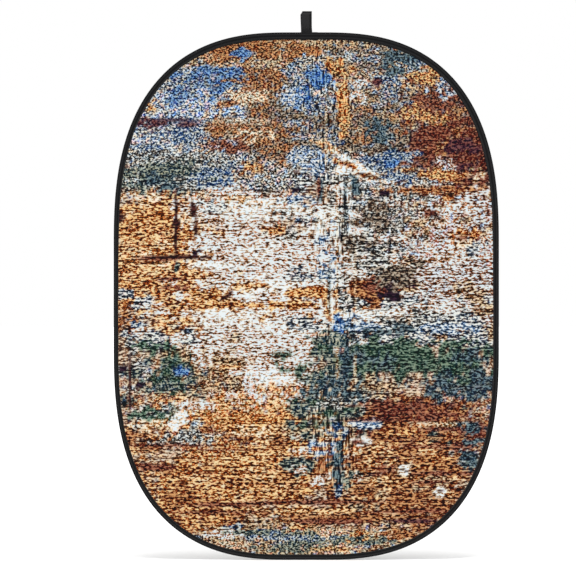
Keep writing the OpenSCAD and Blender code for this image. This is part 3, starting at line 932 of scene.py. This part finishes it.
def stitch_mesh(name, starts, ends, outs, material, radius=0.28 * MM):
    """Stitches that rise out of the cloth and dive back in, one spindle for each."""
    sides, at = 5, np.array((0.0, 0.3, 0.7, 1.0))
    size, lift = np.array((0.45, 1.0, 1.0, 0.45)), np.array((-0.7, 0.5, 0.5, -0.7))
    turn = np.linspace(0, 2 * math.pi, sides, endpoint=False)
    along = ends - starts
    width = np.cross(along, outs)
    width /= np.linalg.norm(width, axis=1)[:, None]
    axis = starts[:, None] + at[None, :, None] * along[:, None]
    axis = axis + radius * lift[None, :, None] * outs[:, None]
    ring = np.cos(turn)[None, :, None] * width[:, None] + np.sin(turn)[None, :, None] * outs[:, None]
    verts = axis[:, :, None] + radius * size[None, :, None, None] * ring[:, None]
    block = len(at) * sides
    one = tube_faces(len(at), sides)
    one += [tuple(range(sides))[::-1], tuple(range(block - sides, block))]
    faces = [tuple(v + k * block for v in f) for k in range(len(starts)) for f in one]
    return new_piece(name, verts.reshape(-1, 3), faces, material)


def stitches_along(line):
    """Where the stitches along a line of needle holes start and end."""
    gap = 0.08 * np.diff(line, axis=0)
    return line[:-1] + gap, line[1:] - gap


def seam_points(p, n, width, side):
    """Points along the seam on one face. It climbs over the lap, except under the tails."""
    at = p - (width - STITCH_IN)[:, None] * n
    x, z = at.T
    on_lap = (x > lap_low.x) & (x < lap_high.x) & (z > centre_z)
    if side > 0:
        on_lap &= np.abs(x) > tails_high.x + 5 * MM
    y = side * (cloth_t + TAPE_T * (1 + on_lap) + 0.05 * MM)
    return np.stack([x, y, z], 1)


def make_seams(material):
    out = np.array((0.0, 1.0, 0.0))
    for upper, half in HALVES:
        p, n = half_path(upper, STITCH)
        widths = {-1: front_binding_w(angle_of(p[:, 0], p[:, 1])),
                  1: np.full(len(p), BACK_BINDING_W)}
        starts, ends, outs = [], [], []
        for side, width in widths.items():
            start, end = stitches_along(seam_points(p, n, width, side))
            starts.append(start)
            ends.append(end)
            outs.append(np.tile(side * out, (len(start), 1)))
        obj = stitch_mesh(f"seam_thread_{half}_half", np.vstack(starts), np.vstack(ends),
                          np.vstack(outs), material)
        bends(obj, upper, f"stitching_{half}", "stitching_middle")


# ------------------------------------------------------------ the hoop inside


def make_hoop(material):
    w, t, r = band_half, BAND_T, 0.35 * MM
    outer = [(band_inset, -w + r), (band_inset, w - r), (band_inset + r, w)]
    inner = [(band_inset + t - r, w), (band_inset + t, w - r), (band_inset + t, -w + r),
             (band_inset + t - r, -w), (band_inset + r, -w)]
    section = np.array(outer + inner)
    for upper, half in HALVES:
        p, n = half_path(upper, 8 * MM)
        obj = sweep(f"steel_band_{half}_half", p, n, [section] * len(p), material)
        sharp_edges(obj)
        bends(obj, upper, f"hoop_{half}", "hoop_middle")


# ------------------------------------------------------------ the hanging loop


def curve_through(points, step):
    """A smooth line through rows of numbers, the first two of them its place, sampled."""
    points = np.array(points, float)
    padded = np.vstack([2 * points[0] - points[1], points, 2 * points[-1] - points[-2]])
    line = []
    for a, b, c, d in zip(padded, padded[1:], padded[2:], padded[3:]):
        count = max(2, int(np.linalg.norm((c - b)[:2]) / step))
        t = np.arange(count)[:, None] / count
        line.append(0.5 * (2 * b + (c - a) * t + (2 * a - 5 * b + 4 * c - d) * t**2
                           + (3 * b - a - 3 * c + d) * t**3))
    return np.vstack([*line, points[-1:]])


def webbing_route():
    """(y, z, sideways shift) along the webbing's middle, from one tail over the eye's top to
    the other tail. Its front ply is a little to the left, and folds over lower."""
    lap_y = lap_high.y + 0.15 * MM
    near, far = lap_y + 0.5 * WEBBING_T, lap_y + 1.55 * WEBBING_T
    sewn_near = cloth_t + TAPE_T + 0.9 * MM + 0.5 * WEBBING_T
    sewn_far = sewn_near + 1.05 * WEBBING_T
    rim_z, end_z, top = rim_high.z, tails_low.z, loop_high.z - 0.8 * MM
    left, right = -4.4 * MM, 3.1 * MM
    front, back = loop_low.y + 0.8 * MM, loop_high.y - 0.8 * MM
    return [
        (sewn_near - 0.4 * MM, end_z, 0.0), (sewn_near, rim_z - 26 * MM, 0.0),
        (near - 1.6 * MM, rim_z - 16 * MM, -0.8 * MM), (near, rim_z - 8 * MM, -1.4 * MM),
        (near, rim_z + 1 * MM, left * 0.45), (near - 0.2 * MM, rim_z + 8 * MM, left * 0.5),
        (front + 1.6 * MM, rim_z + 19 * MM, left * 0.6), (front, rim_z + 32 * MM, left * 0.75),
        (front - 0.3 * MM, rim_z + 50 * MM, left * 0.9), (front, rim_z + 66 * MM, left),
        (front + 0.9 * MM, rim_z + 69.6 * MM, left), (front + 3.0 * MM, rim_z + 71.5 * MM, left * 0.7),
        (back - 3.6 * MM, top - 1.6 * MM, right * 0.8), (back - 1.4 * MM, top, right),
        (back, top - 2.2 * MM, right), (back + 0.2 * MM, rim_z + 60 * MM, right),
        (back, rim_z + 36 * MM, right), (back - 1.6 * MM, rim_z + 20 * MM, right * 1.1),
        (far + 0.3 * MM, rim_z + 8 * MM, right * 1.4), (far, rim_z + 1 * MM, right * 1.5),
        (far, rim_z - 8 * MM, right * 1.3), (far - 1.6 * MM, rim_z - 17 * MM, right),
        (sewn_far, rim_z - 27 * MM, 2.0 * MM), (sewn_far - 0.4 * MM, end_z - 2 * MM, 1.5 * MM),
    ]


def make_loop(material):
    route = curve_through(webbing_route(), 1.2 * MM)
    ahead = np.gradient(route[:, :2], axis=0)
    ahead /= np.linalg.norm(ahead, axis=1)[:, None]
    normal = np.stack([-ahead[:, 1], ahead[:, 0]], 1)
    u = np.linspace(-1, 1, 15)
    thick = 0.5 * WEBBING_T * (1 - 0.75 * smooth(0.93, 1.0, np.abs(u)))
    thick *= 1 + 0.12 * smooth(0.80, 0.88, np.abs(u))
    ring_x = np.r_[u, u[::-1]] * WEBBING_W / 2
    ring_n = np.r_[thick, -thick[::-1]]
    y = route[:, :1] + normal[:, :1] * ring_n
    z = route[:, 1:2] + normal[:, 1:2] * ring_n
    x = route[:, 2:3] + ring_x[None, :]
    verts = np.stack([x, y, z], -1).reshape(-1, 3)
    run = np.repeat(run_length(route[:, :2]), len(ring_x))
    height = np.repeat(route[:, 1], len(ring_x))
    strip = np.stack([run, np.tile(ring_x, len(route)), height], 1)
    sides = len(ring_x)
    faces = [f[::-1] for f in tube_faces(len(route), sides)]
    faces += folded_cap(0, sides, False) + folded_cap((len(route) - 1) * sides, sides, True)
    obj = new_piece("loop_webbing", verts, faces, material, strip)
    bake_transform(obj)
    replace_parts(obj, "hang_loop", "loop_tails")


def make_tack(material):
    """A square of stitches with a cross in it, through both tails."""
    y = cloth_t + TAPE_T + 0.9 * MM + 2.15 * WEBBING_T
    x, low, high = 14 * MM, tails_low.z + 3 * MM, rim_high.z - 26 * MM
    corners = [(-x, low), (x, low), (x, high), (-x, high)]
    lines = [*zip(corners, corners[1:] + corners[:1]), (corners[0], corners[2]),
             (corners[1], corners[3])]
    starts, ends = [], []
    for a, b in lines:
        a, b = np.array((a[0], y, a[1])), np.array((b[0], y, b[1]))
        count = int(np.linalg.norm(b - a) / (2.6 * MM))
        at = np.linspace(0, 1, count + 1)[:, None]
        start, end = stitches_along(a + at * (b - a))
        starts.append(start)
        ends.append(end)
    outs = np.tile((0.0, 1.0, 0.0), (sum(map(len, starts)), 1))
    obj = stitch_mesh("tail_tack_thread", np.vstack(starts), np.vstack(ends), outs, material,
                      0.32 * MM)
    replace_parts(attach(obj, "upper_part"), "loop_tack")


# ------------------------------------------------------------ studio


def make_studio():
    """A pale floor, a white surround, and a soft sun from high in front."""
    scene = bpy.context.scene
    scene.view_settings.view_transform = "Standard"
    world = bpy.data.worlds.new("white_studio")
    world.use_nodes = True
    world.node_tree.nodes["Background"].inputs[0].default_value = (1, 1, 1, 1)
    world.node_tree.nodes["Background"].inputs[1].default_value = 1.0
    scene.world = world
    floor_shader = Shader("pale_floor", 0.9, Specular_IOR_Level=0.0)
    floor_shader.bsdf.inputs["Base Color"].default_value = (0.86, 0.86, 0.86, 1)
    floor = new_piece("floor", [(-60, -60, 0), (60, -60, 0), (60, 60, 0), (-60, 60, 0)],
                      [(0, 1, 2, 3)], floor_shader.material)
    light = bpy.data.lights.new("soft_sun", "SUN")
    light.angle = math.radians(24)
    light.energy = 1.9
    lamp = bpy.data.objects.new("soft_sun", light)
    lamp.rotation_euler = (math.radians(11), 0, 0)
    scene.collection.objects.link(lamp)


def make_camera():
    """Looks straight along +Y from far off, the whole panel just filling the square view."""
    distance, seen = 10.0, 2.2434
    camera = bpy.data.cameras.new("camera")
    camera.lens = camera.sensor_width * distance / seen
    camera.clip_end = 100
    obj = bpy.data.objects.new("camera", camera)
    obj.location = (-0.0713, -distance, 1.0585)
    obj.rotation_euler = (math.pi / 2, 0, 0)
    bpy.context.scene.collection.objects.link(obj)
    bpy.context.scene.camera = obj


def finish_cad_parts():
    for name, material in (("hoop_sleeve", pressed_material()), ("sleeve_wrap", shrink_material())):
        obj = frame["nodes"][name]
        obj.data.materials.clear()
        obj.data.materials.append(material)


make_camera()
make_studio()
make_cloths()
tape, thread = tape_material(), thread_material()
make_binding(tape)
make_lap(tape)
make_seams(thread)
make_hoop(steel_material())
make_loop(webbing_material())
make_tack(thread)
finish_cad_parts()
